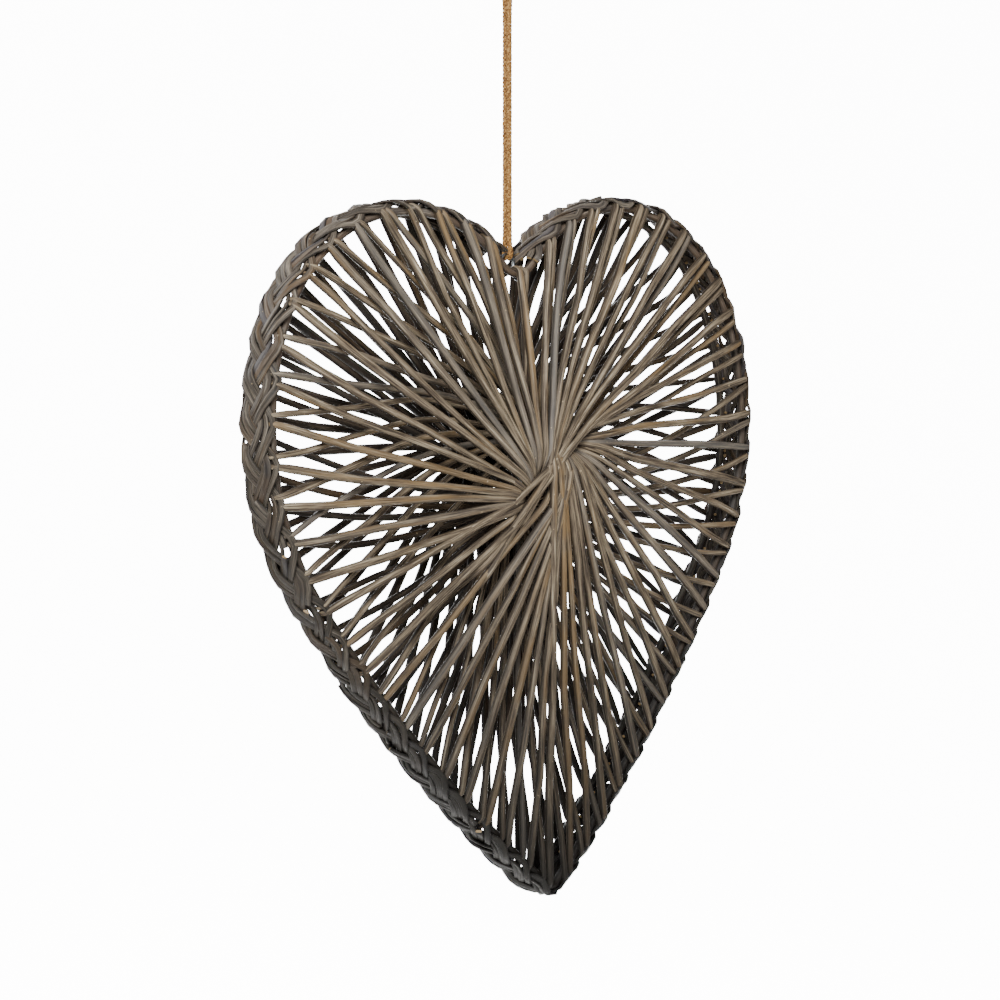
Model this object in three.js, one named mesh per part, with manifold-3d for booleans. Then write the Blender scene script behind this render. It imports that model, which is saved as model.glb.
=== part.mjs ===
// Hanging willow heart: two rod hoops, a whirl of willow rods on each, and a plaited edge.
// Units are millimetres, +Z is up and the front looks along -Y.
// The origin is where the loop of cord hangs on its hook.

import * as THREE from 'three';
import Module from 'manifold-3d';
import { mergeVertices } from 'three/addons/utils/BufferGeometryUtils.js';

const wasm = await Module();
wasm.setup();

// Outline of the heart, measured on the middle line of its hoops
const heart_width = 491.6;
const heart_height = 498.6;
const lobe_radius = 131.5;
const shoulder_radius = 194.9;
const lobe_end_deg = 22.8;
const shoulder_end_deg = 34;
const cleft_radius = 20;
const tip_radius = 5;
const hang_tilt_deg = 4.6;
const outline_samples = 1200;

// Hoops
const hoop_diameter = 6;
const hoop_spacing = 21;
const hoop_arc_steps = [3, 12, 5, 11, 3];
const hoop_sides = 5;

// Webs: each rod starts on top at one notch, turns round the whirl and ends beneath the others
const rod_count = 57;
const rod_reach = 29;
const first_notch = 0.5;
const rod_width = 4.4;
const rod_corner_radius = 2.86;
const end_pitch = 7;
const end_overhang = 3;
const whirl_x = -7;
const whirl_below_lobes = 63;
const whirl_radius = 20;
const bend_distance = 90;
const dive_length = 24;
const whirl_crest = 21;
const whirl_floor = 6.5;
const rod_waist = 0.5;
const rod_bend_width = 0.7;

// Pile where the rods press together in the middle of a web
const pile_radius = 40;
const pile_front = 28;
const pile_front_edge = 24;
const pile_dimple = 24;
const pile_sides = 12;

// Plaited edge, open at the cleft
const strand_count = 3;
const plait_repeats = 19;
const strand_width = 6;
const strand_thickness = 2.2;
const plait_half_width = 9.5;
const plait_lift = 3.4;
const plait_end_gap = 24;
const strand_steps_per_repeat = 6;
const first_phase_deg = 30;

// Hanging ring, the wire crossbar that ties it to both hoops, and the cord
const ring_inner_diameter = 11;
const wire_diameter = 2.2;
const ring_steps = 16;
const wire_sides = 6;
const cord_diameter = 3.5;
const cord_drop = 225;
const cord_sides = 8;

// Gap kept between pieces that touch
const touch_gap = 0.3;

// Materials
const willow = new THREE.MeshStandardMaterial({ color: 0x7d6c5a, roughness: 0.7, metalness: 0 });
const dark_willow = new THREE.MeshStandardMaterial({ color: 0x4f463d, roughness: 0.75, metalness: 0 });
const steel_wire = new THREE.MeshStandardMaterial({ color: 0x9a9c9e, roughness: 0.4, metalness: 1 });
const jute = new THREE.MeshStandardMaterial({ color: 0xb08149, roughness: 0.95, metalness: 0 });

const radians = THREE.MathUtils.degToRad;
const depth_axis = new THREE.Vector3(0, 1, 0);

// Outline as arcs: cleft fillet, lobe, shoulder, side and tip fillet of the right half
function halfOutline() {
  const lobe_end = radians(lobe_end_deg);
  const shoulder_end = radians(-shoulder_end_deg);
  const shoulder_x = heart_width / 2 - shoulder_radius;
  const lobe_x = shoulder_x + (shoulder_radius - lobe_radius) * Math.cos(lobe_end);
  const shoulder_z = (lobe_radius - shoulder_radius) * Math.sin(lobe_end);
  const side_x = shoulder_x + shoulder_radius * Math.cos(shoulder_end);
  const side_z = shoulder_z + shoulder_radius * Math.sin(shoulder_end);
  const tip_z = lobe_radius - heart_height;
  const reach = new THREE.Vector2(side_x, side_z - tip_z);
  const outward = new THREE.Vector2(Math.cos(shoulder_end), Math.sin(shoulder_end));
  const side_radius = reach.lengthSq() / (2 * reach.dot(outward));
  const side_centre = new THREE.Vector2(side_x, side_z).addScaledVector(outward, -side_radius);

  const cleft_z = Math.sqrt((lobe_radius + cleft_radius) ** 2 - lobe_x ** 2);
  const lobe_start = Math.atan2(cleft_z, -lobe_x);
  const tip_centre_z = side_centre.y
    - Math.sqrt((side_radius - tip_radius) ** 2 - side_centre.x ** 2);
  const side_end = Math.atan2(tip_centre_z - side_centre.y, -side_centre.x);

  const path = new THREE.Path();
  path.absarc(0, cleft_z, cleft_radius, -Math.PI / 2, lobe_start - Math.PI, false);
  path.absarc(lobe_x, 0, lobe_radius, lobe_start, lobe_end, true);
  path.absarc(shoulder_x, shoulder_z, shoulder_radius, lobe_end, shoulder_end, true);
  path.absarc(side_centre.x, side_centre.y, side_radius, shoulder_end, side_end, true);
  path.absarc(0, tip_centre_z, tip_radius, side_end, -Math.PI / 2, true);
  return path;
}

const half_outline = halfOutline();
const half_length = half_outline.getLength();
const half_points = half_outline.getSpacedPoints(outline_samples);

// Point of the whole outline at a distance from the cleft, over the right lobe and back
function outlinePoint(distance) {
  const whole = 2 * half_length;
  const along = ((distance % whole) + whole) % whole;
  const mirrored = along > half_length;
  const place = ((mirrored ? whole - along : along) / half_length) * outline_samples;
  const index = Math.min(Math.floor(place), outline_samples - 1);
  const point = half_points[index].clone().lerp(half_points[index + 1], place - index);
  return new THREE.Vector3(mirrored ? -point.x : point.x, 0, point.y);
}

function outwardAt(distance) {
  const along = outlinePoint(distance + 1).sub(outlinePoint(distance - 1)).normalize();
  return new THREE.Vector3(-along.z, 0, along.x);
}

// A closed mesh as a solid, and a solid as a mesh again
function toSolid(geometry) {
  const bare = geometry.clone();
  bare.deleteAttribute('normal');
  bare.deleteAttribute('uv');
  const merged = mergeVertices(bare, 1e-4);
  return new wasm.Manifold(new wasm.Mesh({
    numProp: 3,
    vertProperties: new Float32Array(merged.attributes.position.array),
    triVerts: new Uint32Array(merged.index.array),
  }));
}

function join(geometries) {
  const mesh = wasm.Manifold.union(geometries.map(toSolid)).getMesh();
  const geometry = new THREE.BufferGeometry();
  const positions = new Float32Array(mesh.vertProperties);
  geometry.setAttribute('position', new THREE.BufferAttribute(positions, 3));
  geometry.setIndex(new THREE.BufferAttribute(new Uint32Array(mesh.triVerts), 1));
  geometry.computeVertexNormals();
  return geometry;
}

// A bar through given points, whose section keeps one side facing a given way; it may taper,
// and its ends may meet
function bar(points, section) {
  const { facing, half_wide, half_thick, sides, first_corner_deg } = section;
  const { closed = false, taper = () => 1 } = section;
  const corners = [];
  const last = points.length - 1;
  points.forEach((point, i) => {
    const before = points[closed ? (i + last) % points.length : Math.max(i - 1, 0)];
    const after = points[closed ? (i + 1) % points.length : Math.min(i + 1, last)];
    const forward = after.clone().sub(before).normalize();
    const side = new THREE.Vector3().crossVectors(forward, facing(i)).normalize();
    const lift = new THREE.Vector3().crossVectors(side, forward);
    for (let corner = 0; corner < sides; corner += 1) {
      const turn = (corner / sides) * 2 * Math.PI + radians(first_corner_deg);
      corners.push(point.clone()
        .addScaledVector(side, half_wide * taper(i) * Math.cos(turn))
        .addScaledVector(lift, half_thick * taper(i) * Math.sin(turn)));
    }
  });
  const faces = [];
  for (let i = 0; i < last + (closed ? 1 : 0); i += 1) {
    for (let corner = 0; corner < sides; corner += 1) {
      const next = (corner + 1) % sides;
      const here = i * sides;
      const there = ((i + 1) % points.length) * sides;
      faces.push(here + corner, there + corner, here + next);
      faces.push(here + next, there + corner, there + next);
    }
  }
  for (let corner = 1; corner < sides - 1 && !closed; corner += 1) {
    const end = last * sides;
    faces.push(0, corner, corner + 1);
    faces.push(end, end + corner + 1, end + corner);
  }
  const geometry = new THREE.BufferGeometry().setFromPoints(corners);
  geometry.setIndex(faces);
  geometry.computeVertexNormals();
  return geometry;
}

function named(name, geometry, material) {
  const mesh = new THREE.Mesh(geometry, material);
  mesh.name = name;
  return mesh;
}

// Hoop: one thick rod bent to the outline
function hoopGeometry() {
  const right = half_outline.curves.filter((arc) => arc.isEllipseCurve)
    .flatMap((arc, i) => arc.getPoints(hoop_arc_steps[i]).slice(1));
  const left = right.slice(0, -1).reverse().map((point) => new THREE.Vector2(-point.x, point.y));
  const points = [half_outline.getPoint(0), ...right, ...left]
    .map((point) => new THREE.Vector3(point.x, 0, point.y));
  return bar(points, {
    facing: () => depth_axis,
    half_wide: hoop_diameter / 2,
    half_thick: hoop_diameter / 2,
    sides: hoop_sides,
    first_corner_deg: 0,
    closed: true,
  });
}

// Direction from a notch that passes the whirl at its radius, with the whirl on the left
const whirl_centre = new THREE.Vector3(whirl_x, 0, -whirl_below_lobes);
function headingPast(start) {
  const aim = whirl_centre.clone().sub(start);
  const swing = Math.asin(whirl_radius / aim.length());
  return aim.normalize().applyAxisAngle(depth_axis, swing);
}

// Corner points of one web rod, from its upper end to its lower end, in front of the hoop
function rodPoints(index) {
  const notch_spacing = (2 * half_length) / rod_count;
  const start = outlinePoint(-(index + first_notch) * notch_spacing - end_pitch / 2);
  const end_index = index + rod_reach + first_notch;
  const end = outlinePoint(-end_index * notch_spacing + end_pitch / 2);
  const inward = headingPast(start);
  const rim_level = -(hoop_diameter + rod_width) / 2 - touch_gap;
  const nearest = whirl_centre.clone().sub(start).dot(inward);
  const atLevel = (along, level) => start.clone().addScaledVector(inward, along).setY(level);
  const crest = atLevel(nearest - dive_length, -whirl_crest);
  const floor = atLevel(nearest + dive_length, whirl_floor);
  const bend = atLevel(nearest + bend_distance, 0);
  const outward = end.clone().sub(bend).normalize();
  const before_bend = floor.distanceTo(bend);
  const after_bend = bend.distanceTo(end);
  bend.setY(THREE.MathUtils.lerp(whirl_floor, rim_level, before_bend / (before_bend + after_bend)));
  return [
    start.clone().addScaledVector(inward, -end_overhang).setY(rim_level),
    crest,
    floor,
    bend,
    end.clone().addScaledVector(outward, end_overhang).setY(rim_level),
  ];
}

function pileGeometry() {
  const back = hoop_spacing / 2 - touch_gap / 2;
  const profile = [
    [0, -pile_dimple],
    [whirl_radius, -pile_front],
    [pile_radius, -pile_front_edge],
    [pile_radius, back],
    [0, back],
  ].map(([radius, depth]) => new THREE.Vector2(radius, depth));
  const pile = new THREE.LatheGeometry(profile, pile_sides);
  return pile.translate(whirl_centre.x, 0, whirl_centre.z);
}

function webGeometry() {
  const widths = [1, rod_waist, rod_waist, rod_bend_width, 1];
  const rods = [];
  for (let index = 0; index < rod_count; index += 1) {
    rods.push(bar(rodPoints(index), {
      facing: () => depth_axis,
      half_wide: rod_corner_radius,
      half_thick: rod_corner_radius,
      sides: 3,
      first_corner_deg: -90,
      taper: (i) => widths[i],
    }));
  }
  return join([pileGeometry(), ...rods]);
}

// One flat strand of the plait: it swings from edge to edge and over or under the other two
function strandGeometry(strand) {
  const seat = hoop_diameter / 2 + touch_gap + strand_thickness / 2 + plait_lift;
  const steps = plait_repeats * strand_steps_per_repeat;
  const usable = 2 * (half_length - plait_end_gap);
  const points = [];
  const outward = [];
  for (let step = 0; step <= steps; step += 1) {
    const distance = plait_end_gap + (step / steps) * usable;
    const phase = 2 * Math.PI * ((plait_repeats * step) / steps + strand / strand_count)
      + radians(first_phase_deg);
    outward.push(outwardAt(distance));
    points.push(outlinePoint(distance)
      .addScaledVector(outward[step], seat + plait_lift * Math.sin(2 * phase))
      .addScaledVector(depth_axis, plait_half_width * Math.sin(phase)));
  }
  return bar(points, {
    facing: (i) => outward[i],
    half_wide: (strand_width / 2) * Math.SQRT2,
    half_thick: (strand_thickness / 2) * Math.SQRT2,
    sides: 4,
    first_corner_deg: 45,
  });
}

// Crossbar of wire, looped round both hoops at the cleft
const ring_radius = (ring_inner_diameter + wire_diameter) / 2;
const wire_radius = wire_diameter / 2;
const loop_radius = hoop_diameter / 2 + touch_gap + wire_radius;
function crossbarGeometry() {
  const pieces = [new THREE.CylinderGeometry(wire_radius, wire_radius, hoop_spacing, wire_sides)
    .translate(0, 0, loop_radius)];
  for (const side of [-1, 1]) {
    pieces.push(new THREE.TorusGeometry(loop_radius, wire_radius, wire_sides, ring_steps)
      .rotateY(Math.PI / 2)
      .translate(0, (side * hoop_spacing) / 2, 0));
  }
  return join(pieces);
}

function ringGeometry() {
  const ring = new THREE.TorusGeometry(ring_radius, wire_radius, wire_sides, ring_steps);
  return join([ring.rotateX(Math.PI / 2)]);
}

// Cord: one loop of jute, through the eye under its top wire and up to the hook.
// Each point is a distance from the middle in depth and a height; the other side mirrors it.
const cord_radius = cord_diameter / 2;
const strand_apart = cord_radius + touch_gap / 2;
const round_wire = wire_radius + touch_gap + cord_radius;
const cord_side = [
  [touch_gap, -cord_drop - round_wire],
  [round_wire * 0.72, -cord_drop - round_wire * 0.72],
  [round_wire, -cord_drop],
  [round_wire * 0.85, -cord_drop + 5],
  [strand_apart + 0.2, -cord_drop + 12],
  [strand_apart, -cord_drop + 30],
  [strand_apart, -cord_drop + 60],
  [strand_apart, -cord_drop + 90],
  [strand_apart, -cord_drop + 120],
  [strand_apart, -cord_drop + 150],
  [strand_apart, -52],
  [strand_apart + 0.6, -40],
  [strand_apart + 2.6, -28],
  [6.9, -17],
  [8, -7],
  [5.8, -0.9],
];

// A path whose steps follow its listed points, so the tight bends get as many as the long runs
class ListedPath extends THREE.CatmullRomCurve3 {
  getPointAt(share) {
    return this.getPoint(share);
  }

  getTangentAt(share) {
    return this.getTangent(share);
  }
}

function cordGeometry() {
  const back_side = cord_side.map(([depth, height]) => new THREE.Vector3(0, depth, height));
  const front_side = cord_side.map(([depth, height]) => new THREE.Vector3(0, -depth, height));
  const hook_point = new THREE.Vector3(0, 0, cord_radius);
  const route = [...back_side, hook_point, ...front_side.reverse()];
  const section = new THREE.Shape();
  section.absarc(0, 0, cord_radius, 0, 2 * Math.PI);
  return new THREE.ExtrudeGeometry(section, {
    steps: 2 * (route.length - 1),
    curveSegments: cord_sides / 2,
    extrudePath: new ListedPath(route, false, 'centripetal'),
  });
}

// The heart, tilted as it hangs, with the crossbar held by the ring
const heart = new THREE.Group();
const hoop = hoopGeometry();
const web = webGeometry();
const sides = [['front', 1], ['back', -1]];
for (const [side, facing] of sides) {
  const shell = new THREE.Group();
  shell.rotation.z = facing > 0 ? 0 : Math.PI;
  for (const piece of [named(`${side}_hoop`, hoop, dark_willow), named(`${side}_web`, web, willow)]) {
    piece.position.y = -hoop_spacing / 2;
    shell.add(piece);
  }
  heart.add(shell);
}
for (let strand = 0; strand < strand_count; strand += 1) {
  heart.add(named(`plait_strand_${strand + 1}`, strandGeometry(strand), dark_willow));
}
const cleft = outlinePoint(0);
const crossbar = named('ring_crossbar', crossbarGeometry(), steel_wire);
crossbar.position.copy(cleft);
heart.add(crossbar);

const ring = named('hanging_ring', ringGeometry(), steel_wire);
ring.position.z = -cord_drop - ring_radius;
const crossbar_level = ring.position.z - ring_radius + wire_diameter + touch_gap;
heart.rotation.y = radians(-hang_tilt_deg);
const held_point = new THREE.Vector3(0, 0, cleft.z + loop_radius)
  .applyAxisAngle(depth_axis, heart.rotation.y);
heart.position.set(-held_point.x, 0, crossbar_level - held_point.z);

const hanging_heart = new THREE.Group();
hanging_heart.add(heart, ring, named('hanging_cord', cordGeometry(), jute));

export default hanging_heart;
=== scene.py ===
"""Hanging willow heart: two webs of whirled rods on two hoops, a plaited rim, and a jute loop."""

import math

import bpy
import numpy as np
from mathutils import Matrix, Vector


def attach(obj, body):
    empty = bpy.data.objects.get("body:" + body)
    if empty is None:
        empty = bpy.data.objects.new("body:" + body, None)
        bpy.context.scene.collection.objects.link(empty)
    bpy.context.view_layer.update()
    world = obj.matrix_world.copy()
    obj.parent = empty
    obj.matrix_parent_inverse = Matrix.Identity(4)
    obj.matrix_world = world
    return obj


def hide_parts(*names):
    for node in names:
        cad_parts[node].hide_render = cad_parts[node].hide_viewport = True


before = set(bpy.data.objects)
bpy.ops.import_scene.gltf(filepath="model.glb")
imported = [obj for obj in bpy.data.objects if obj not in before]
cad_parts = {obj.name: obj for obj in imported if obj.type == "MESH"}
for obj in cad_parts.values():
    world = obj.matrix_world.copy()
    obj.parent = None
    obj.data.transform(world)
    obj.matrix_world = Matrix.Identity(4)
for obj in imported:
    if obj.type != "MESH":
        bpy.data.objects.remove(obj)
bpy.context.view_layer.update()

MM = 0.001
rng = np.random.default_rng(57)

# Outline of the heart on the middle line of its hoops, in millimetres
HEART_WIDTH = 491.6
HEART_HEIGHT = 498.6
LOBE_RADIUS = 131.5
SHOULDER_RADIUS = 194.9
LOBE_END_DEG = 22.8
SHOULDER_END_DEG = 34
CLEFT_RADIUS = 20
TIP_RADIUS = 5
HANG_TILT_DEG = 4.6

# Hoops, ring and cord
HOOP_DIAMETER = 6
HOOP_SPACING = 21
RING_INNER_DIAMETER = 11
WIRE_DIAMETER = 2.2
CORD_DIAMETER = 3.5
CORD_DROP = 225
TOUCH_GAP = 0.3
HOOP_SWELL = 0.03
HOOP_SWELL_LENGTH = 37

# Rods of a web: one notch is in the cleft, and those beside it are CLEFT_CLEAR from it; a butt
# and a tip share each notch, END_PITCH apart
ROD_COUNT = 57
ROD_REACH = 29
CLEFT_CLEAR = 38
END_PITCH = 7
BUTT_DIAMETER = 6.0
WHIRL_DIAMETER = 5.4
TIP_DIAMETER = 4.8
END_THICKNESS = 2.4
END_LENGTH = 14
END_WRAP_DEG = 130
LEAST_SLANT = 0.55
ROD_SIDES = 10
ROD_STEP = 7.0

# Whirl: where rods bend past it, and how far they stand out of the hoop's plane and sink behind
WHIRL_PLACE = np.array([-7.0, -63.4])
BEND_LENGTH = 82
BEND_SHARE = 0.9
FARTHEST_BEND = 170
CREST = 25
FLOOR = 7.5
HALF_DIVE = 30

# How far rods stray by chance
END_STRAY = 0.8
BUTT_PASS_STRAY = 1.2
TIP_PASS_STRAY = 2.5
SIDEWAYS_STRAY = 1.2
DEPTH_STRAY = 0.8
STRAY_EASE = 30
WIDTH_SPREAD = 0.07
WIDTH_STRAY = 0.035

# How rods pass the whirl. A row has the direction of the butt from the whirl in degrees, how far
# from the whirl the butt's half passes, how far beyond it the rod dives under the others, and
# how far from it the tip's half passes.
PASSES = np.array([
    (0, 28, -40, 56),
    (14, 24, -42, 50),
    (22, 17, -15, 20),
    (27, 10, 110, 0),
    (38, 8, 110, 0),
    (46, 6, 34, 6),
    (60, 5, 14, 6),
    (90, 5, 6, 0),
    (104, 7, 6, -6),
    (118, 9, 6, -8),
    (135, 12, 7, 34),
    (160, 14, 0, 52),
    (180, 15, -8, 56),
    (205, 16, -16, 56),
    (214, 13, -22, 54),
    (222, 5, 8, 42),
    (232, -1, 20, 38),
    (245, -2, 30, 38),
    (257, 1, 36, 38),
    (266, 6, 38, 38),
    (275, 13, 36, 40),
    (286, 24, 30, 44),
    (300, 31, 16, 52),
    (320, 36, 0, 58),
    (345, 36, -32, 58),
    (360, 28, -40, 56),
], dtype=float)

# Plait: its strands swing from side to side over the hoops, PLAIT_SEAT above their middle line
PLAIT_REPEATS = 19
PLAIT_STEPS = 16
PLAIT_START_DEG = 30
PLAIT_HALF_WIDTH = 11.6
PLAIT_SEAT = 6.3
PLAIT_LIFT = 1.2
PLAIT_END_GAP = 17
SPLIT_WIDTH = 5.0
SPLIT_THICKNESS = 2.0
SPLIT_OVERLAP = 0.93
SPLIT_CURL = 0.97
SPLITS_PER_STRAND = 3
SPLIT_JOINTS = 3
JOINT_MARGIN = 12
SHORTEST_SPLIT = 8
LOOSE_END = [0.3, 0.9, 1.6]

# Cord: yarns laid round each other, with fibres drawn thicker than real ones so that they show
YARN_COUNT = 3
YARN_LAY = 9.0
YARN_OFFSET = 1.0
YARN_RADIUS = 1.15
HAIR_COUNT = 1500
HAIR_START = 1.9
HAIR_RADII = np.array([0.07, 0.06, 0.03])

# Camera: its lens, sensor and sighted point in millimetres, and its place in metres from that
# point, which is on the front hoop's axis, below the lobes' centres
CAMERA_LENS = 102.3
SENSOR_WIDTH = 36
SIGHTED_LEVEL = -42.4
CAMERA_PLACE = (-1.49830, -1.43752, -0.0347)
CAMERA_LOOK = (0.7148, 0.6993, -0.0015)

# Studio, in metres and watts
GROUND_LEVEL = -1.35
GROUND_HALF = 6
BACKDROP_AWAY = 2.3
BACKDROP_TOP = 0.75
BACKDROP_GLOW = 12.0
SKY_GLOW = 0.26
LIT_PLACE = Vector((0, 0, -0.42))
LIGHTS = (
    ("key_light", (-1.9, -1.5, 0.9), 1.1, 150),
    ("side_light", (0.6, -2.2, 0.3), 1.6, 5),
    ("rim_light", (1.6, 1.6, 1.4), 1.4, 8),
    ("back_light", (-0.6, 2.2, 0.5), 1.4, 45),
)

# Patterns by real sizes in millimetres; a streak has a length, a width and a fineness of detail
STREAK = (45.5, 2.83, 6)
FINE_STREAK = (29.4, 0.652, 4)
LONG_STREAK = (111, 7.71, 2)
ROD_GIRTH = math.pi * WHIRL_DIAMETER
ROD_SHIFT = (83, 47, 0)
BLOTCH_SIZE = 26.3
SPECK_SPACING = 3.03
BARK_RELIEF = 1.0
FIBRE_SIZE = 1.11
FIBRE_RELIEF = 0.4
ZINC_MOTTLE_SIZE = 1.67

# Colours: the grain of the willows, from dark streaks to pale ones, and the other finishes
FRONT_GRAIN = [(0.37, "#1a1612"), (0.46, "#4c4236"), (0.55, "#7a6d5a"), (0.66, "#b5a992")]
# The back web's grain is the front's darkened, as painted shade for the web that lies behind
SHADED_BACK_GRAIN = [(0.37, "#100e0c"), (0.46, "#2c2620"), (0.55, "#463d33"), (0.66, "#6b6153")]
DARK_GRAIN = [(0.37, "#14110f"), (0.46, "#3c362f"), (0.55, "#625a4f"), (0.66, "#9a9082")]
PALE_SPECK = "#a09074"
# Painted shade for the flanks of the rods
PAINTED_FLANK_SHADE = "#1a1613"
# Painted shade towards the foot of the heart
PAINTED_LOW_SHADE = "#131210"
CUT_WOOD = "#7d6a4c"
JUTE_FIBRE = [(0.35, "#46290c"), (0.5, "#835a28"), (0.65, "#b08a52")]
DULL_ZINC = [(0.35, "#5b5e61"), (0.65, "#93979a")]


def add_object(name, data):
    """A new object of the scene, from its data."""
    thing = bpy.data.objects.new(name, data)
    bpy.context.scene.collection.objects.link(thing)
    return thing


def make_camera():
    """Camera at the photograph's viewing angle, placed from the front hoop."""
    sighted = Vector(to_row(np.array([[0.0, -HOOP_SPACING / 2, SIGHTED_LEVEL]]))[0])
    data = bpy.data.cameras.new("camera")
    data.lens = CAMERA_LENS
    data.sensor_width = SENSOR_WIDTH
    camera = add_object("camera", data)
    camera.location = sighted + Vector(CAMERA_PLACE)
    camera.rotation_euler = Vector(CAMERA_LOOK).to_track_quat("-Z", "Y").to_euler()
    bpy.context.scene.camera = camera


def unit(vectors):
    """The same directions, each with length 1."""
    return vectors / np.linalg.norm(vectors, axis=-1, keepdims=True)


def distances(points):
    """Distance of each point from the first, along the line."""
    return np.concatenate([[0], np.cumsum(np.linalg.norm(np.diff(points, axis=0), axis=1))])


def half_outline():
    """Right half of the outline from the cleft to the tip, as points about 1 mm apart."""
    lobe_end = math.radians(LOBE_END_DEG)
    shoulder_end = math.radians(-SHOULDER_END_DEG)
    shoulder_x = HEART_WIDTH / 2 - SHOULDER_RADIUS
    lobe_x = shoulder_x + (SHOULDER_RADIUS - LOBE_RADIUS) * math.cos(lobe_end)
    shoulder_z = (LOBE_RADIUS - SHOULDER_RADIUS) * math.sin(lobe_end)
    outward = np.array([math.cos(shoulder_end), math.sin(shoulder_end)])
    side = np.array([shoulder_x, shoulder_z]) + SHOULDER_RADIUS * outward
    reach = side - np.array([0, LOBE_RADIUS - HEART_HEIGHT])
    side_radius = (reach @ reach) / (2 * (reach @ outward))
    side_x, side_z = side - side_radius * outward
    cleft_z = math.sqrt((LOBE_RADIUS + CLEFT_RADIUS) ** 2 - lobe_x ** 2)
    lobe_start = math.atan2(cleft_z, -lobe_x)
    tip_z = side_z - math.sqrt((side_radius - TIP_RADIUS) ** 2 - side_x ** 2)
    side_end = math.atan2(tip_z - side_z, -side_x)
    arcs = [
        (0, cleft_z, CLEFT_RADIUS, -math.pi / 2, lobe_start - math.pi),
        (lobe_x, 0, LOBE_RADIUS, lobe_start, lobe_end),
        (shoulder_x, shoulder_z, SHOULDER_RADIUS, lobe_end, shoulder_end),
        (side_x, side_z, side_radius, shoulder_end, side_end),
        (0, tip_z, TIP_RADIUS, side_end, -math.pi / 2),
    ]
    points = []
    for x, z, radius, start, end in arcs:
        turn = np.linspace(start, end, max(4, int(radius * abs(end - start))))
        points.append(np.stack([x + radius * np.cos(turn), z + radius * np.sin(turn)], axis=1)[:-1])
    points.append([[0, tip_z - TIP_RADIUS]])
    return np.concatenate(points)


RIGHT_HALF = half_outline()
RIGHT_ALONG = distances(RIGHT_HALF)
HALF_LENGTH = RIGHT_ALONG[-1]


def outline_point(distance):
    """Points of the whole outline at distances from the cleft, over the right lobe and back."""
    along = np.mod(distance, 2 * HALF_LENGTH)
    mirrored = along > HALF_LENGTH
    along = np.where(mirrored, 2 * HALF_LENGTH - along, along)
    x = np.interp(along, RIGHT_ALONG, RIGHT_HALF[:, 0])
    z = np.interp(along, RIGHT_ALONG, RIGHT_HALF[:, 1])
    return np.stack([np.where(mirrored, -x, x), z], axis=-1)


def outward_at(distance):
    """Unit directions out of the heart, at distances along its outline."""
    either_side = 2
    along = unit(outline_point(distance + either_side) - outline_point(distance - either_side))
    return np.stack([-along[..., 1], along[..., 0]], axis=-1)


# Where the tilted heart hangs below the origin, as in the CAD
RING_RADIUS = (RING_INNER_DIAMETER + WIRE_DIAMETER) / 2
WIRE_RADIUS = WIRE_DIAMETER / 2
CROSSBAR_SEAT = HOOP_DIAMETER / 2 + TOUCH_GAP + WIRE_RADIUS
RING_LEVEL = -CORD_DROP - RING_RADIUS
CROSSBAR_LEVEL = RING_LEVEL - RING_RADIUS + WIRE_DIAMETER + TOUCH_GAP
TILT_SIN = math.sin(math.radians(HANG_TILT_DEG))
TILT_COS = math.cos(math.radians(HANG_TILT_DEG))
HELD_HEIGHT = RIGHT_HALF[0, 1] + CROSSBAR_SEAT
HEART_X = TILT_SIN * HELD_HEIGHT
HEART_Z = CROSSBAR_LEVEL - TILT_COS * HELD_HEIGHT


def to_row(points):
    """Points in the heart's own millimetres, turned and moved to the row frame in metres."""
    x, y, z = points.T
    return np.stack([
        HEART_X + TILT_COS * x - TILT_SIN * z,
        y,
        HEART_Z + TILT_SIN * x + TILT_COS * z,
    ], axis=1) * MM


def resample(points, step):
    """The same line, with points at even steps."""
    along = distances(points)
    places = np.linspace(0, along[-1], max(2, int(round(along[-1] / step)) + 1))
    return np.stack([np.interp(places, along, column) for column in points.T], axis=1)


def smooth_line(points, per_span):
    """A Catmull-Rom curve through the given points."""
    padded = np.vstack([2 * points[0] - points[1], points, 2 * points[-1] - points[-2]])
    t = np.linspace(0, 1, per_span, endpoint=False)[:, None]
    spans = []
    for a, b, c, d in zip(padded, padded[1:], padded[2:], padded[3:]):
        spans.append(0.5 * (2 * b + (c - a) * t + (2 * a - 5 * b + 4 * c - d) * t ** 2
                            + (3 * b - a - 3 * c + d) * t ** 3))
    return np.vstack(spans + [points[-1:]])


def wander(count, knots, amount):
    """A gentle random sway round zero for a line of that many points."""
    return np.interp(np.linspace(0, knots - 1, count), np.arange(knots),
                     rng.normal(0, amount, knots))


def carried_sides(ahead):
    """A side direction at each point, carried along the line without twist."""
    start = np.cross(ahead[0], [0.0, 1.0, 0.0] if abs(ahead[0][1]) < 0.9 else [1.0, 0.0, 0.0])
    sides = [unit(start)]
    for direction in ahead[1:]:
        sides.append(unit(sides[-1] - direction * (sides[-1] @ direction)))
    return np.array(sides)


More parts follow.
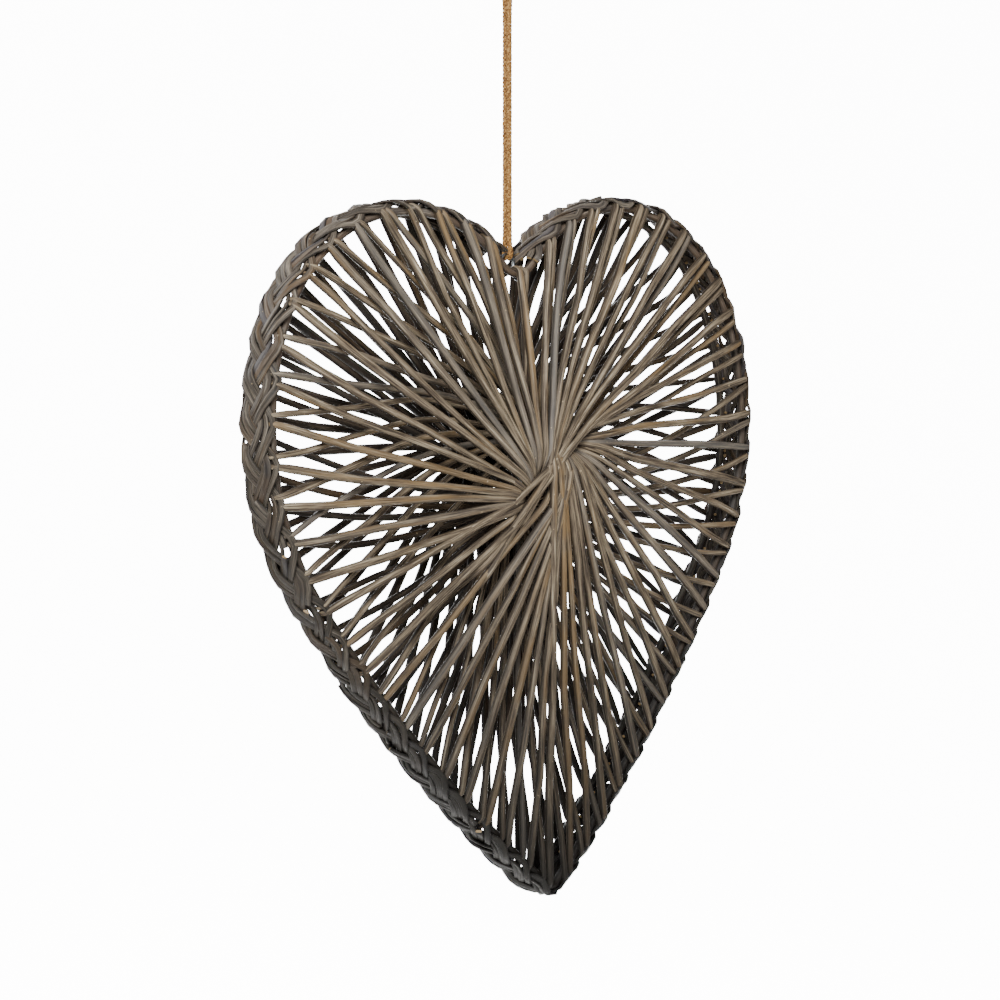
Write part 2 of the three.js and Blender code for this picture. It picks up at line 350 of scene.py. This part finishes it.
class Bars:
    """Collects bars of wood, wire or yarn, and makes one mesh piece of them.

    The grain map has the distance along a bar in metres and the share of the way round it. The
    tone has two random shares for each bar, and then 1 on its cut ends.
    """

    def __init__(self):
        self.corners = []
        self.faces = []
        self.grain = []
        self.tones = []
        self.count = 0

    def add(self, points, wide, thick=None, facing=None, sides=ROD_SIDES, closed=False,
            square=1.0):
        """One bar along points in metres; wide and thick are its half sizes at each point.

        Its section is round, or nearer to a rectangle with a square under 1.
        """
        number = len(points)
        wide = np.broadcast_to(wide, number)
        thick = wide if thick is None else np.broadcast_to(thick, number)
        ahead = np.roll(points, -1, axis=0) - np.roll(points, 1, axis=0)
        if not closed:
            ahead[0] = points[1] - points[0]
            ahead[-1] = points[-1] - points[-2]
        ahead = unit(ahead)
        side = unit(carried_sides(ahead) if facing is None else np.cross(facing, ahead))
        lift = np.cross(ahead, side)
        turn = np.arange(sides) / sides * 2 * math.pi
        across = np.sign(np.cos(turn)) * np.abs(np.cos(turn)) ** square
        upward = np.sign(np.sin(turn)) * np.abs(np.sin(turn)) ** square
        rings = (points[:, None] + side[:, None] * (wide[:, None] * across)[..., None]
                 + lift[:, None] * (thick[:, None] * upward)[..., None])
        along = distances(points)
        first = self.count
        tone = tuple(rng.random(2))
        spans = number if closed else number - 1
        for i in range(spans):
            here = first + i * sides
            there = first + ((i + 1) % number) * sides
            start = along[i]
            end = along[i + 1] if i + 1 < number else along[i] + (along[1] - along[0])
            for j in range(sides):
                k = (j + 1) % sides
                self.faces.append((here + j, here + k, there + k, there + j))
                low, high = j / sides, (j + 1) / sides
                self.grain += [(start, low), (start, high), (end, high), (end, low)]
                self.tones += [(*tone, 0.0, 1.0)] * 4
        if not closed:
            last = first + (number - 1) * sides
            self.faces.append(tuple(range(first + sides - 1, first - 1, -1)))
            self.faces.append(tuple(range(last, last + sides)))
            self.grain += [(0.0, 0.0)] * (2 * sides)
            self.tones += [(*tone, 1.0, 1.0)] * (2 * sides)
        self.corners.append(rings.reshape(-1, 3))
        self.count += number * sides

    def piece(self, name, material):
        """The finished mesh object, riding on the part."""
        mesh = bpy.data.meshes.new(name)
        mesh.from_pydata(np.vstack(self.corners).tolist(), [], self.faces)
        grain = mesh.uv_layers.new(name="grain")
        grain.data.foreach_set("uv", np.array(self.grain, dtype=np.float32).ravel())
        tone = mesh.color_attributes.new("tone", "FLOAT_COLOR", "CORNER")
        tone.data.foreach_set("color", np.array(self.tones, dtype=np.float32).ravel())
        mesh.polygons.foreach_set("use_smooth", [len(face) == 4 for face in self.faces])
        mesh.materials.append(material)
        mesh.update()
        piece = add_object(name, mesh)
        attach(piece, "root")
        return piece


def notch_place(notch):
    """Distance of a notch from the cleft along the outline, over the left lobe first."""
    notch %= ROD_COUNT
    if notch == 0:
        return 0.0
    spacing = 2 * (HALF_LENGTH - CLEFT_CLEAR) / (ROD_COUNT - 2)
    return -CLEFT_CLEAR - (notch - 1) * spacing


def heading_past(start, offset, whirl_on_left):
    """Direction from a notch that passes the whirl at an offset."""
    aim = WHIRL_PLACE - start
    swing = math.asin(offset / np.hypot(*aim)) * (-1 if whirl_on_left else 1)
    angle = math.atan2(aim[1], aim[0]) + swing
    return np.array([math.cos(angle), math.sin(angle)])


def bend_corner(start, end, butt_pass, tip_pass):
    """Where the straight halves of a rod would meet, each passing the whirl at its own offset."""
    ahead = heading_past(start, butt_pass, True)
    back = heading_past(end, tip_pass, False)
    gap = end - start
    run = (gap[0] * back[1] - gap[1] * back[0]) / (ahead[0] * back[1] - ahead[1] * back[0])
    corner = start + ahead * run
    if run < 0 or np.hypot(*(corner - WHIRL_PLACE)) > FARTHEST_BEND:
        corner = (start + end) / 2
    return corner


def rod_depth(along, middle, dive):
    """Depth of a rod along it: out over the whirl's pile, then down under the other rods."""
    past = along - middle
    rim_level = (HOOP_DIAMETER + WHIRL_DIAMETER) / 2
    nearness = np.where(past < 0, 1 + past / middle, 1 - past / (along[-1] - middle))
    on_top = -rim_level - (CREST - rim_level) * nearness
    beneath = np.where(past > 0, -rim_level + (FLOOR + rim_level) * nearness, FLOOR)
    share = np.clip((past + HALF_DIVE - dive) / (2 * HALF_DIVE), 0, 1)
    share = share ** 2 * (3 - 2 * share)
    return on_top * (1 - share) + beneath * share


def end_wrap(rim_point, inward, outward, level):
    """The last stretch of a rod: over the front of the hoop and down its outer side."""
    turns = np.radians(np.linspace(0, END_WRAP_DEG, 8))
    pared_from = 1.2
    radius = HOOP_DIAMETER / 2 + np.interp(turns, [0, pared_from], [level, END_THICKNESS / 2])
    slant = max(LEAST_SLANT, abs(inward @ outward))
    run = radius * np.sin(turns) / slant
    flat = rim_point - inward * run[:, None]
    return np.stack([flat[:, 0], -radius * np.cos(turns), flat[:, 1]], axis=1)


def rod_line(index):
    """One rod of the front web from butt to tip, in millimetres from the hoop's plane.

    The second value is how far along it passes the whirl.
    """
    start_at = notch_place(index) - END_PITCH / 2 + rng.normal(0, END_STRAY)
    end_at = notch_place(index + ROD_REACH) + END_PITCH / 2 + rng.normal(0, END_STRAY)
    start, end = outline_point(start_at), outline_point(end_at)
    from_whirl = start - WHIRL_PLACE
    direction = math.degrees(math.atan2(from_whirl[1], from_whirl[0])) % 360
    butt_pass, dive, tip_pass = (np.interp(direction, PASSES[:, 0], column)
                                 for column in PASSES[:, 1:].T)
    butt_pass += rng.normal(0, BUTT_PASS_STRAY)
    tip_pass += rng.normal(0, TIP_PASS_STRAY)
    corner = bend_corner(start, end, butt_pass, tip_pass)
    legs = np.hypot(*(corner - start)), np.hypot(*(corner - end))
    inward = (corner - start) / legs[0]
    back = (corner - end) / legs[1]
    bend = min(BEND_LENGTH, BEND_SHARE * legs[0], BEND_SHARE * legs[1])
    bend_in, bend_out = corner - inward * bend, corner - back * bend
    t = np.linspace(0, 1, 40)[:, None]
    turn = bend_in * (1 - t) ** 2 + 2 * corner * t * (1 - t) + bend_out * t ** 2
    flat = resample(np.vstack([start, turn, end]), ROD_STEP)
    along = distances(flat)
    middle = along[np.argmin(np.hypot(*(flat - WHIRL_PLACE).T))]
    depth = rod_depth(along, middle, dive)
    number = len(flat)
    knots = 8
    ease = np.clip(np.minimum(along, along[-1] - along) / STRAY_EASE, 0, 1)
    sideways = unit(np.stack([-np.gradient(flat[:, 1]), np.gradient(flat[:, 0])], axis=1))
    flat = flat + sideways * (ease * wander(number, knots, SIDEWAYS_STRAY))[:, None]
    depth = depth + ease * wander(number, knots, DEPTH_STRAY)
    body = np.stack([flat[:, 0], depth, flat[:, 1]], axis=1)
    first = end_wrap(start, inward, outward_at(start_at), WHIRL_DIAMETER / 2)[::-1]
    last = end_wrap(end, back, outward_at(end_at), TIP_DIAMETER / 2)
    line = np.vstack([first[:-1], body, last[1:]])
    return line, middle


def rod_half_width(line, middle):
    """The rod's half width at each point: thicker at its butt than its tip, pared at both ends."""
    along = distances(line)
    scale = rng.normal(1, WIDTH_SPREAD)
    widths = np.interp(along, [0, END_LENGTH, middle, along[-1] - END_LENGTH, along[-1]],
                       [END_THICKNESS, BUTT_DIAMETER, WHIRL_DIAMETER, TIP_DIAMETER, END_THICKNESS])
    return widths / 2 * scale * (1 + wander(len(line), 14, WIDTH_STRAY))


def make_web(name, node, facing, material):
    """All rods of one web; facing is 1 in front, and -1 turns the web round for the back."""
    bars = Bars()
    for index in range(ROD_COUNT):
        line, middle = rod_line(index)
        half = rod_half_width(line, middle)
        fine = smooth_line(np.column_stack([line, half]), 2)
        placed = fine[:, :3] * np.array([facing, facing, 1])
        placed[:, 1] -= facing * HOOP_SPACING / 2
        bars.add(to_row(placed), fine[:, 3] * MM)
    web = bars.piece(name, material)
    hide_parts(node)


def make_hoop(name, node, facing, material):
    """One hoop: a thick rod bent to the outline, with slight swellings."""
    along = np.arange(0, 2 * HALF_LENGTH, 4.0)
    flat = outline_point(along)
    depth = np.full(len(flat), -facing * HOOP_SPACING / 2)
    swell = 1 + HOOP_SWELL * np.sin(along / HOOP_SWELL_LENGTH)
    bars = Bars()
    bars.add(to_row(np.stack([flat[:, 0], depth, flat[:, 1]], axis=1)),
             HOOP_DIAMETER / 2 * MM * swell, sides=14, closed=True)
    hoop = bars.piece(name, material)
    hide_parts(node)


def over_hoops(across, level):
    """Height of a plaited split above the rim, and its lean, where it curls over a hoop."""
    past = np.clip(np.abs(across) - HOOP_SPACING / 2, 0, SPLIT_CURL * level)
    height = np.sqrt(level ** 2 - past ** 2)
    return height, np.sign(across) * np.arcsin(past / level)


def make_plait_strand(number, material):
    """One strand of the plait: flat splits side by side, over and under the other strands."""
    usable = 2 * (HALF_LENGTH - PLAIT_END_GAP)
    steps = PLAIT_REPEATS * PLAIT_STEPS
    count = steps + 1
    share = np.linspace(0, 1, count)
    along = PLAIT_END_GAP + share * usable
    phase = 2 * math.pi * (PLAIT_REPEATS * share + number / 3) + math.radians(PLAIT_START_DEG)
    outward = outward_at(along)
    out = np.stack([outward[:, 0], np.zeros(count), outward[:, 1]], axis=1)
    level = PLAIT_SEAT + PLAIT_LIFT * np.sin(2 * phase)
    swing = PLAIT_HALF_WIDTH * np.sin(phase)
    slope = np.gradient(swing, along)
    slant = np.sqrt(1 + slope ** 2)
    bars = Bars()
    for split in range(SPLITS_PER_STRAND):
        place = (split - (SPLITS_PER_STRAND - 1) / 2) * SPLIT_WIDTH * SPLIT_OVERLAP
        shift = place + wander(count, 70, 0.6)
        across = swing + shift / slant
        moved = outline_point(along - shift * slope / slant)
        height, lean = over_hoops(across, level + wander(count, 110, 0.5))
        lean = lean + wander(count, 60, 0.3)
        line = np.stack([moved[:, 0], across, moved[:, 1]], axis=1) + out * height[:, None]
        placed = to_row(line)
        tipped = out * np.cos(lean)[:, None] + np.array([0, 1, 0]) * np.sin(lean)[:, None]
        facing = to_row(line + tipped) - placed
        width = SPLIT_WIDTH / 2 * (1 + wander(count, 80, 0.1))
        joints = rng.integers(JOINT_MARGIN, steps - JOINT_MARGIN, SPLIT_JOINTS)
        joints = [0, *sorted(joints), steps]
        for first, last in zip(joints, joints[1:]):
            if last - first < SHORTEST_SPLIT:
                continue
            run = slice(first, last)
            loose = np.zeros(last - first)
            loose[-len(LOOSE_END):] = LOOSE_END
            bars.add(placed[run] + facing[run] * loose[:, None], width[run] * MM,
                     SPLIT_THICKNESS / 2 * MM, facing=facing[run], sides=10, square=0.6)
    strand = bars.piece(f"plaited_strand_{number + 1}", material)
    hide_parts(f"plait_strand_{number + 1}")


def cord_route():
    """The cord's route in the row frame, in millimetres, as in the CAD."""
    cord_radius = CORD_DIAMETER / 2
    strand_apart = cord_radius + TOUCH_GAP / 2
    round_wire = WIRE_RADIUS + TOUCH_GAP + cord_radius
    side = [
        (TOUCH_GAP, -CORD_DROP - round_wire),
        (round_wire * 0.72, -CORD_DROP - round_wire * 0.72),
        (round_wire, -CORD_DROP),
        (round_wire * 0.85, -CORD_DROP + 5),
        (strand_apart + 0.2, -CORD_DROP + 12),
        (strand_apart, -CORD_DROP + 30),
        (strand_apart, -CORD_DROP + 60),
        (strand_apart, -CORD_DROP + 90),
        (strand_apart, -CORD_DROP + 120),
        (strand_apart, -CORD_DROP + 150),
        (strand_apart, -52),
        (strand_apart + 0.6, -40),
        (strand_apart + 2.6, -28),
        (6.9, -17),
        (8, -7),
        (5.8, -0.9),
    ]
    back_side = [(0, depth, height) for depth, height in side]
    front_side = [(0, -depth, height) for depth, height in reversed(side)]
    return np.array(back_side + [(0, 0, cord_radius)] + front_side, dtype=float)


def make_cord(material):
    """Jute cord: three twisted yarns with stray fibres."""
    route = smooth_line(cord_route(), 24)
    centre = resample(route, 0.8)
    along = distances(centre)
    ahead = unit(np.gradient(centre, axis=0))
    side = carried_sides(ahead)
    lift = np.cross(ahead, side)
    bars = Bars()
    for yarn in range(YARN_COUNT):
        turn = (2 * math.pi * (along / YARN_LAY + yarn / YARN_COUNT))[:, None]
        line = centre + YARN_OFFSET * (side * np.cos(turn) + lift * np.sin(turn))
        bars.add(line * MM, YARN_RADIUS * MM * (1 + wander(len(line), 160, 0.06)), sides=8)
    for _ in range(HAIR_COUNT):
        start = rng.integers(2, len(centre) - 4)
        angle = rng.random() * 2 * math.pi
        out = side[start] * math.cos(angle) + lift[start] * math.sin(angle)
        lean = ahead[start] * rng.choice([-1, 1]) * rng.uniform(0.8, 3.0)
        tip = out * rng.uniform(0.3, 1.2)
        hair = centre[start] + out * HAIR_START + np.outer([0, 0.5, 1], lean)
        hair += np.outer([0, 0.35, 1], tip)
        bars.add(hair * MM, HAIR_RADII * MM, sides=3)
    cord = bars.piece("jute_cord", material)
    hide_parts("hanging_cord")


def make_ring(material):
    """Wire eye ring that the cord passes through."""
    turn = np.linspace(0, 2 * math.pi, 72, endpoint=False)
    line = np.stack([RING_RADIUS * np.cos(turn), np.zeros(len(turn)),
                     RING_LEVEL + RING_RADIUS * np.sin(turn)], axis=1)
    bars = Bars()
    bars.add(line * MM, WIRE_RADIUS * MM, sides=16, closed=True)
    ring = bars.piece("eye_ring", material)
    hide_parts("hanging_ring")


def make_crossbar(material):
    """Wire looped round both hoops, with a bar between them that carries the ring."""
    cleft_z = RIGHT_HALF[0, 1]
    half = HOOP_SPACING / 2
    turn = np.linspace(0, 2 * math.pi, 48, endpoint=False)
    bars = Bars()
    for side in (-1, 1):
        loop = np.stack([np.zeros(len(turn)), side * half + CROSSBAR_SEAT * np.cos(turn),
                         cleft_z + CROSSBAR_SEAT * np.sin(turn)], axis=1)
        bars.add(to_row(loop), WIRE_RADIUS * MM, sides=12, closed=True)
    bar = np.stack([np.zeros(12), np.linspace(-half, half, 12),
                    np.full(12, cleft_z + CROSSBAR_SEAT)], axis=1)
    bars.add(to_row(bar), WIRE_RADIUS * MM, sides=12)
    crossbar = bars.piece("wire_crossbar", material)
    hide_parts("ring_crossbar")


def linear(hex_colour):
    """An sRGB hex colour as the linear RGBA that the shader wants."""
    parts = [int(hex_colour[i:i + 2], 16) / 255 for i in (1, 3, 5)]
    return [p / 12.92 if p <= 0.04045 else ((p + 0.055) / 1.055) ** 2.4 for p in parts] + [1.0]


def add_node(tree, kind, inputs=None, stops=None, **settings):
    """One shader node, with its settings, its values or links, and a ramp's stops.

    Inputs are given by name, or by number where a node has several of one name.
    """
    node = tree.nodes.new(f"ShaderNode{kind}")
    for name, value in settings.items():
        setattr(node, name, value)
    for name, value in (inputs or {}).items():
        socket = node.inputs[name]
        if isinstance(value, bpy.types.NodeSocket):
            tree.links.new(value, socket)
        else:
            socket.default_value = value
    for i, (place, colour) in enumerate(stops or []):
        elements = node.color_ramp.elements
        element = elements[i] if i < 2 else elements.new(place)
        element.position = place
        element.color = linear(colour)
    return node


def new_material(name):
    """An empty node material with its shader."""
    material = bpy.data.materials.new(name)
    material.use_nodes = True
    tree = material.node_tree
    return material, tree, tree.nodes["Principled BSDF"]


def willow_bark(name, streaks, tan, grey, grey_share, roughness, painted_shade_from, painted_shade_to):
    """Willow rods, washed and weathered: matt, with long grain streaks and painted shade on flanks.

    Some rods are tan and some blue-grey. Pale specks sit on them, painted shade darkens them
    from one height in metres down to another, and cut ends show the wood.
    """
    material, tree, shader = new_material(name)
    grain = add_node(tree, "UVMap", uv_map="grain").outputs["UV"]
    tone = add_node(tree, "Attribute", attribute_name="tone").outputs["Color"]
    rod = add_node(tree, "SeparateColor", {"Color": tone}).outputs
    place = add_node(tree, "TexCoord").outputs["Object"]

    # Each rod has its own stretch of the streaks, which are long and narrow
    own = add_node(tree, "VectorMath", {0: tone, 1: ROD_SHIFT}, operation="MULTIPLY").outputs[0]
    patterns = []
    for length, width, detail in (STREAK, FINE_STREAK, LONG_STREAK):
        scale = (1 / (length * MM), ROD_GIRTH / width, 0)
        stretched = add_node(tree, "VectorMath", {0: grain, 1: scale}, operation="MULTIPLY")
        moved = add_node(tree, "VectorMath", {0: stretched.outputs[0], 1: own}, operation="ADD")
        noise = add_node(tree, "TexNoise", {"Vector": moved.outputs[0], "Scale": 1.0,
                                            "Detail": detail, "Roughness": 0.6})
        patterns.append(noise.outputs["Fac"])
    streak, fine, long_streak = patterns
    half_streak = add_node(tree, "Math", {0: streak, 1: 0.5}, operation="MULTIPLY").outputs[0]
    mixed = add_node(tree, "Math", {0: fine, 1: 0.5, 2: half_streak},
                     operation="MULTIPLY_ADD").outputs[0]
    colour = add_node(tree, "ValToRGB", {"Fac": mixed}, stops=streaks).outputs["Color"]
    blotch = add_node(tree, "TexNoise", {"Vector": place, "Scale": 1 / (BLOTCH_SIZE * MM),
                                         "Detail": 4.0}).outputs["Fac"]
    speck = add_node(tree, "TexNoise", {"Vector": place, "Scale": 1 / (SPECK_SPACING * MM),
                                        "Detail": 1.0}).outputs["Fac"]

    # Where each mark begins and where it is full
    marks = {}
    for mark, value, begins, full in (
        ("tan rod", rod["Red"], 0.75, 1),
        ("tan blotch", blotch, 0.3, 0.6),
        ("tan streak", long_streak, 0.55, 0.72),
        ("grey rod", rod["Green"], 1 - grey_share, 1),
        ("speck", speck, 0.76, 0.82),
    ):
        marks[mark] = add_node(tree, "MapRange",
                               {"Value": value, "From Min": begins, "From Max": full},
                               interpolation_type="SMOOTHSTEP").outputs["Result"]
    own_tan = add_node(tree, "Math", {0: marks["tan rod"], 1: marks["tan blotch"]},
                       operation="MULTIPLY").outputs[0]
    some_tan = add_node(tree, "Math", {0: marks["tan streak"], 1: own_tan},
                        operation="MAXIMUM").outputs[0]
    tan_amount = add_node(tree, "Math", {0: some_tan, 1: 0.62}, operation="MULTIPLY").outputs[0]
    grey_amount = add_node(tree, "Math", {0: marks["grey rod"], 1: 0.6},
                           operation="MULTIPLY").outputs[0]

    # Painted shade darkens two opposite flanks of each rod, and the heart towards its foot
    around = add_node(tree, "SeparateXYZ", {"Vector": grain}).outputs["Y"]
    angle = add_node(tree, "Math", {0: around, 1: 2 * math.pi}, operation="MULTIPLY").outputs[0]
    swing = add_node(tree, "Math", {0: angle}, operation="SINE").outputs[0]
    crown = add_node(tree, "Math", {0: swing}, operation="ABSOLUTE").outputs[0]
    painted_flank_shade = add_node(tree, "MapRange", {"Value": crown, "From Min": 0.05, "From Max": 0.8,
                                        "To Min": 0.78, "To Max": 0.0},
                     interpolation_type="SMOOTHSTEP").outputs["Result"]
    # Painted shade: darker from the first height down to the second
    height_up = add_node(tree, "SeparateXYZ", {"Vector": place}).outputs["Z"]
    painted_low_shade = add_node(tree, "MapRange", {"Value": height_up, "From Min": painted_shade_to,
                                        "From Max": painted_shade_from, "To Min": 0.95,
                                        "To Max": 0.0}).outputs["Result"]

    # The marks and the painted shade lie over the grain, each mixed in by its amount
    for amount, over in ((tan_amount, tan), (grey_amount, grey), (marks["speck"], PALE_SPECK),
                         (painted_flank_shade, PAINTED_FLANK_SHADE), (painted_low_shade, PAINTED_LOW_SHADE), (rod["Blue"], CUT_WOOD)):
        colour = add_node(tree, "Mix", {0: amount, 6: colour, 7: linear(over)},
                          data_type="RGBA").outputs[2]
    tree.links.new(colour, shader.inputs["Base Color"])
    rough = add_node(tree, "MapRange", {"Value": fine, "From Min": 0.3, "From Max": 0.7,
                                        "To Min": roughness - 0.1, "To Max": roughness + 0.12})
    tree.links.new(rough.outputs["Result"], shader.inputs["Roughness"])
    height = add_node(tree, "Math", {0: mixed, 1: blotch}, operation="ADD").outputs[0]
    bump = add_node(tree, "Bump", {"Height": height, "Strength": 0.9,
                                   "Distance": BARK_RELIEF * MM})
    tree.links.new(bump.outputs["Normal"], shader.inputs["Normal"])
    shader.inputs["IOR"].default_value = 1.45
    shader.inputs["Specular IOR Level"].default_value = 0.2
    return material


def jute_yarn():
    """Twisted jute: matt straw-brown fibre in uneven clumps.

    Real fibres are finer than the clumps, which are drawn as coarse as they need to show.
    """
    material, tree, shader = new_material("jute yarn")
    place = add_node(tree, "TexCoord").outputs["Object"]
    fibre = add_node(tree, "TexNoise", {"Vector": place, "Scale": 1 / (FIBRE_SIZE * MM),
                                        "Detail": 4.0}).outputs["Fac"]
    colour = add_node(tree, "ValToRGB", {"Fac": fibre}, stops=JUTE_FIBRE)
    tree.links.new(colour.outputs["Color"], shader.inputs["Base Color"])
    bump = add_node(tree, "Bump", {"Height": fibre, "Strength": 0.6,
                                   "Distance": FIBRE_RELIEF * MM})
    tree.links.new(bump.outputs["Normal"], shader.inputs["Normal"])
    shader.inputs["Roughness"].default_value = 0.95
    return material


def galvanised_wire():
    """Drawn steel wire with a dull zinc coat: grey, softly reflecting, faintly mottled."""
    material, tree, shader = new_material("galvanised wire")
    place = add_node(tree, "TexCoord").outputs["Object"]
    mottle = add_node(tree, "TexNoise", {"Vector": place, "Scale": 1 / (ZINC_MOTTLE_SIZE * MM),
                                         "Detail": 3.0}).outputs["Fac"]
    colour = add_node(tree, "ValToRGB", {"Fac": mottle}, stops=DULL_ZINC)
    tree.links.new(colour.outputs["Color"], shader.inputs["Base Color"])
    rough = add_node(tree, "MapRange", {"Value": mottle, "To Min": 0.28, "To Max": 0.5})
    tree.links.new(rough.outputs["Result"], shader.inputs["Roughness"])
    shader.inputs["Metallic"].default_value = 1.0
    return material


def studio_paper(name, glow):
    """Matt white paper; with a glow it is backlit, for the backdrop."""
    material, tree, shader = new_material(name)
    shader.inputs["Base Color"].default_value = linear("#f2f1ee")
    shader.inputs["Roughness"].default_value = 0.9
    shader.inputs["Emission Color"].default_value = linear("#ffffff")
    shader.inputs["Emission Strength"].default_value = glow
    return material


def stage_sheet(name, corners, material):
    """A flat sheet of the studio, from its four corners."""
    mesh = bpy.data.meshes.new(name)
    mesh.from_pydata(corners, [], [(0, 1, 2, 3)])
    mesh.materials.append(material)
    add_object(name, mesh)


def make_studio():
    """Pale floor, a backlit paper behind the heart, four soft lights and an even sky."""
    ground = [(x * GROUND_HALF, y * GROUND_HALF, GROUND_LEVEL)
              for x, y in ((-1, -1), (1, -1), (1, 1), (-1, 1))]
    stage_sheet("studio_floor", ground, studio_paper("floor paper", 0.0))
    away = np.array(CAMERA_LOOK[:2])
    across = np.array([-away[1], away[0]])
    left, right = away * BACKDROP_AWAY + across, away * BACKDROP_AWAY - across
    backdrop = [(*left, GROUND_LEVEL), (*right, GROUND_LEVEL),
                (*right, BACKDROP_TOP), (*left, BACKDROP_TOP)]
    stage_sheet("studio_backdrop", backdrop, studio_paper("backlit paper", BACKDROP_GLOW))

    for name, place, size, watts in LIGHTS:
        data = bpy.data.lights.new(name, "AREA")
        data.size = size
        data.energy = watts
        light = add_object(name, data)
        light.location = place
        light.rotation_euler = (LIT_PLACE - Vector(place)).to_track_quat("-Z", "Y").to_euler()
    world = bpy.data.worlds.new("studio")
    world.use_nodes = True
    sky = world.node_tree.nodes["Background"]
    sky.inputs["Color"].default_value = linear("#f4f5f7")
    sky.inputs["Strength"].default_value = SKY_GLOW
    bpy.context.scene.world = world


def build():
    """The whole scene, with the camera and the cord first."""
    make_camera()
    make_cord(jute_yarn())
    # Each willow darkens downwards as painted shade, between the two heights given to it
    front_willow = willow_bark("washed willow", FRONT_GRAIN, tan="#7d6543", grey="#5d5b58",
                               grey_share=0.3, roughness=0.5, painted_shade_from=-0.40, painted_shade_to=-0.68)
    # The back web's willow is the front one darkened, as painted shade
    shaded_back_willow = willow_bark("washed willow with painted shade for the back web", SHADED_BACK_GRAIN, tan="#564530",
                              grey="#383633", grey_share=0.3, roughness=0.55,
                              painted_shade_from=-0.40, painted_shade_to=-0.68)
    dark_willow = willow_bark("dark weathered willow", DARK_GRAIN, tan="#634d33", grey="#4c4b50",
                              grey_share=0.4, roughness=0.5, painted_shade_from=-0.18, painted_shade_to=-0.61)
    wire = galvanised_wire()
    make_ring(wire)
    make_crossbar(wire)
    make_hoop("front_rim_rod", "front_hoop", 1, dark_willow)
    make_hoop("back_rim_rod", "back_hoop", -1, dark_willow)
    make_web("front_rods", "front_web", 1, front_willow)
    make_web("back_rods", "back_web", -1, shaded_back_willow)
    for number in range(3):
        make_plait_strand(number, dark_willow)
    make_studio()


build()
